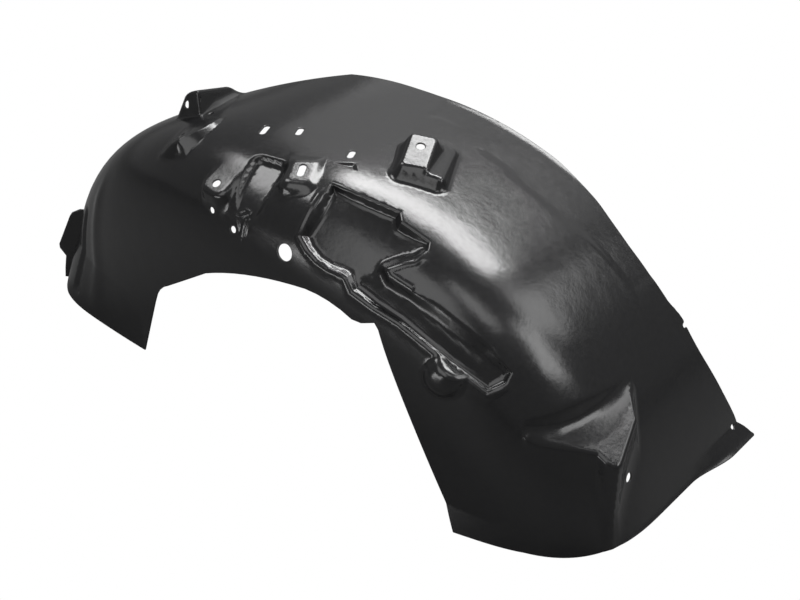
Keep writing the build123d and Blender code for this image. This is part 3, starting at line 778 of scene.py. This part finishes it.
def flange_wall():
    """Points, normals and triangles of the flange."""
    along = np.array((-cos(FORWARD_SLOPE), -sin(FORWARD_SLOPE), 0))
    facing = np.array((sin(FORWARD_SLOPE), -cos(FORWARD_SLOPE), 0))
    start = np.array((*FORWARD_START, 0))
    root = []
    for z in np.linspace(FLANGE_OUTER[-1][1], FLANGE_OUTER[0][1], FLANGE_ROOT_POINTS):
        depth = arch(start + along * FLANGE_SEARCH[:, None] + np.array((0, 0, z)))
        root.append((FLANGE_SEARCH[np.argmin(np.abs(depth - FLANGE_ROOT_DEPTH))], z))
    outline = FLANGE_OUTER + root
    sides = [(i, (i + 1) % len(outline)) for i in range(len(outline))]
    found = delaunay_2d_cdt([Vector(p) for p in outline], sides, [], 1, TINY)
    places = np.array([tuple(p) for p in found[0]])
    triangles = np.array(found[2])
    middle = places[triangles].mean(1)
    triangles = triangles[inside_polygon(middle[:, 0], middle[:, 1], outline) > 0]
    outer = start + along * places[:, :1] + np.array((0, 0, 1.0)) * places[:, 1:] + facing * SHEET
    normals = np.tile(facing, (len(outer), 1))
    triangles = facing_out(outer, triangles, normals)
    away = np.zeros_like(outer)
    edges = rim_edges(triangles)
    sideways = np.cross(outer[edges[:, 1]] - outer[edges[:, 0]], facing)
    np.add.at(away, edges[:, 0], sideways)
    np.add.at(away, edges[:, 1], sideways)
    return sheet_wall(outer, normals, triangles, away)


# Arch liner: sheet and flange as one mesh
# The box pad's bolt hole is known in the car's millimetres and in the part's frame, so it ties the two.

MM = 0.001
BOLT_IN_CAR = np.array((26.11, 185.555, 400.31))
bolt = next(m for m in frame["record"]["mounts"] if m["name"] == "box_bolt")
to_row = np.array(bolt["pos_m"]) - BOLT_IN_CAR * MM
places, triangles = trimmed_skin()
outer = skin_points(places[:, 0], places[:, 1])
facing = gradient(depth_below_skin, outer, SKIN_PROBE)
triangles = facing_out(outer, triangles, facing)
sheet = sheet_wall(outer, facing, triangles, gradient(kept, outer, SKIN_PROBE))
flange = flange_wall()
points = np.concatenate((sheet[0], flange[0]))
normals = np.concatenate((sheet[1], flange[1]))
faces = np.concatenate((sheet[2], flange[2] + len(sheet[0])))
mesh = bpy.data.meshes.new("arch_liner_sheet")
mesh.from_pydata(points * MM + to_row, [], faces)
mesh.polygons.foreach_set("use_smooth", np.ones(len(mesh.polygons), bool))
mesh.normals_split_custom_set_from_vertices(normals)
liner = bpy.data.objects.new("arch_liner_sheet", mesh)
bpy.context.collection.objects.link(liner)

# Arch liner: black plastic of the sheet
# Formed polyethylene: glossy black, with the grain, blotches and faint waves that forming leaves in it.
# Noise in three sizes gives them, as roughness, as shallow relief and as two near blacks.

class Value:
    """A shader socket that takes part in sums and products; each operator adds a Math node."""

    def __init__(self, tree, socket):
        self.tree = tree
        self.socket = socket

    def math(self, operation, other):
        return add_node(self.tree, "ShaderNodeMath", {"operation": operation}, {0: self, 1: other})

    def __add__(self, other):
        return self.math("ADD", other)

    def __mul__(self, other):
        return self.math("MULTIPLY", other)

    __radd__ = __add__
    __rmul__ = __mul__


def add_node(tree, kind, settings, values, output=0):
    """A node with its settings made first, then the values or links of its sockets."""
    node = tree.nodes.new(kind)
    for name, setting in settings.items():
        setattr(node, name, setting)
    for name, value in values.items():
        if isinstance(value, Value):
            tree.links.new(value.socket, node.inputs[name])
        else:
            node.inputs[name].default_value = value
    return Value(tree, node.outputs[output])


def noise(tree, place, per_metre, detail):
    """Noise of one size over the sheet."""
    return add_node(tree, "ShaderNodeTexNoise", {}, {"Vector": place, "Scale": per_metre, "Detail": detail})


GRAIN_PER_METRE = 700.0
WAVES_PER_METRE = 28.0
BLOTCHES_PER_METRE = 170.0
ROUGHNESS = 0.13
BLOTCH_ROUGHNESS = 0.09
GRAIN_ROUGHNESS = 0.04
BLOTCH_RELIEF = 0.3
GRAIN_RELIEF = 0.06
RELIEF_HEIGHT = 0.0012
RELIEF_STRENGTH = 0.35
DEEP_BLACK = (0.006, 0.006, 0.0065, 1)
PALE_BLACK = (0.011, 0.011, 0.0115, 1)
plastic = bpy.data.materials.new("black_plastic_sheet")
plastic.use_nodes = True
tree = plastic.node_tree
shader = tree.nodes["Principled BSDF"]
place = add_node(tree, "ShaderNodeTexCoord", {}, {}, "Object")
grain = noise(tree, place, GRAIN_PER_METRE, 2.0)
waves = noise(tree, place, WAVES_PER_METRE, 1.0)
blotches = noise(tree, place, BLOTCHES_PER_METRE, 4.0)
roughness = ROUGHNESS + BLOTCH_ROUGHNESS * blotches + GRAIN_ROUGHNESS * grain
relief = waves + BLOTCH_RELIEF * blotches + GRAIN_RELIEF * grain
relief_size = {"Strength": RELIEF_STRENGTH, "Distance": RELIEF_HEIGHT}
bump = add_node(tree, "ShaderNodeBump", {}, {"Height": relief, **relief_size})
blacks = {0: blotches, 6: DEEP_BLACK, 7: PALE_BLACK}
black = add_node(tree, "ShaderNodeMix", {"data_type": "RGBA"}, blacks, 2)
tree.links.new(black.socket, shader.inputs["Base Color"])
tree.links.new(roughness.socket, shader.inputs["Roughness"])
tree.links.new(bump.socket, shader.inputs["Normal"])
mesh.materials.append(plastic)
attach(liner, "root")
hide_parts("arch_liner")

# Floor
# A studio floor under the liner's feet, white to the camera and dark grey to everything else,
# so that the glossy black sheet reflects little of it.

FLOOR_REACH = 6.0
FLOOR_GREY = (0.12, 0.12, 0.12, 1)
WHITE = (1, 1, 1, 1)


def white_to_camera(tree, plain, white, output):
    """Show the white shader to the camera and the plain one to everything else."""
    seen = add_node(tree, "ShaderNodeLightPath", {}, {}, "Is Camera Ray")
    mix = add_node(tree, "ShaderNodeMixShader", {}, {0: seen, 1: Value(tree, plain.outputs[0]), 2: white})
    tree.links.new(mix.socket, output.inputs[0])


floor_corners = [(FLOOR_REACH * i, FLOOR_REACH * j, 0) for i, j in ((-1, -1), (1, -1), (1, 1), (-1, 1))]
floor_mesh = bpy.data.meshes.new("floor")
floor_mesh.from_pydata(floor_corners, [], [(0, 1, 2, 3)])
floor = bpy.data.objects.new("floor", floor_mesh)
bpy.context.collection.objects.link(floor)
floor_paint = bpy.data.materials.new("floor_paint")
floor_paint.use_nodes = True
tree = floor_paint.node_tree
grey = tree.nodes["Principled BSDF"]
grey.inputs["Base Color"].default_value = FLOOR_GREY
white = add_node(tree, "ShaderNodeEmission", {}, {"Color": WHITE})
white_to_camera(tree, grey, white, tree.nodes["Material Output"])
floor_mesh.materials.append(floor_paint)

# World
# The room round the liner is white to the camera and dim to the sheet,
# so that the lights make the highlights.

WORLD_GREY = (0.24, 0.24, 0.24, 1)
world = bpy.data.worlds.new("studio")
bpy.context.scene.world = world
world.use_nodes = True
tree = world.node_tree
dim = tree.nodes["Background"]
dim.inputs["Color"].default_value = WORLD_GREY
white = add_node(tree, "ShaderNodeBackground", {}, {"Color": WHITE})
white_to_camera(tree, dim, white, tree.nodes["World Output"])

# Lights
# A bright strip overhead for the crown's highlight, and dimmer soft squares round the liner.
# Each has a name, a direction from the liner, a distance, a width and a height in metres, and a brightness.

LIT_MIDDLE = Vector((0.05, -0.02, 0.25))
LIGHTS = [
    ("overhead_strip", (-0.01, 0.51, 0.86), 2.4, 2.5, 0.62, 17),
    ("inboard_strip", (-0.53, -0.05, 0.84), 2.4, 1.0, 0.6, 8),
    ("rear_strip", (0.58, -0.16, 0.8), 2.4, 0.8, 0.5, 3),
    ("rear_glow", (0.66, 0.46, 0.59), 2.55, 0.7, 0.8, 4),
    ("near_glow", (0.15, -0.66, 0.74), 2.4, 2.0, 1.6, 2),
    ("back_wall", (-0.1, 0.86, 0.5), 3.2, 4.0, 2.0, 0.62),
    ("front_strip", (-0.25, -0.96, -0.02), 2.6, 2.0, 0.5, 6),
    ("side_strip", (0.843, 0.18, 0.51), 2.6, 0.9, 0.7, 5.5),
]


def soft_light(name, towards, distance, width, height, brightness):
    """A flat light of one brightness, seen from the middle of the liner in one direction."""
    lamp = bpy.data.lights.new(name, "AREA")
    lamp.shape = "RECTANGLE"
    lamp.size = width
    lamp.size_y = height
    lamp.energy = brightness * pi * width * height
    light = bpy.data.objects.new(name, lamp)
    away = Vector(towards).normalized()
    across = away.cross(Vector((1, 0, 0))).normalized()
    light.location = LIT_MIDDLE + away * distance
    light.rotation_euler = Matrix((across.cross(away), across, away)).transposed().to_euler()
    bpy.context.collection.objects.link(light)


for light in LIGHTS:
    soft_light(*light)

# Camera
# It looks down at the inboard side from beyond the rear foot, as the photograph does.

CAMERA_IN_CAR = np.array((959.0, -1191.0, 1375.5))
CAMERA_TILT = radians(54)
CAMERA_HEADING = radians(35)
LENS = 70
camera_data = bpy.data.cameras.new("camera")
camera_data.lens = LENS
camera = bpy.data.objects.new("camera", camera_data)
camera.location = CAMERA_IN_CAR * MM + to_row
camera.rotation_euler = (CAMERA_TILT, 0, CAMERA_HEADING)
bpy.context.collection.objects.link(camera)
bpy.context.scene.camera = camera
bpy.context.scene.view_settings.view_transform = "Standard"
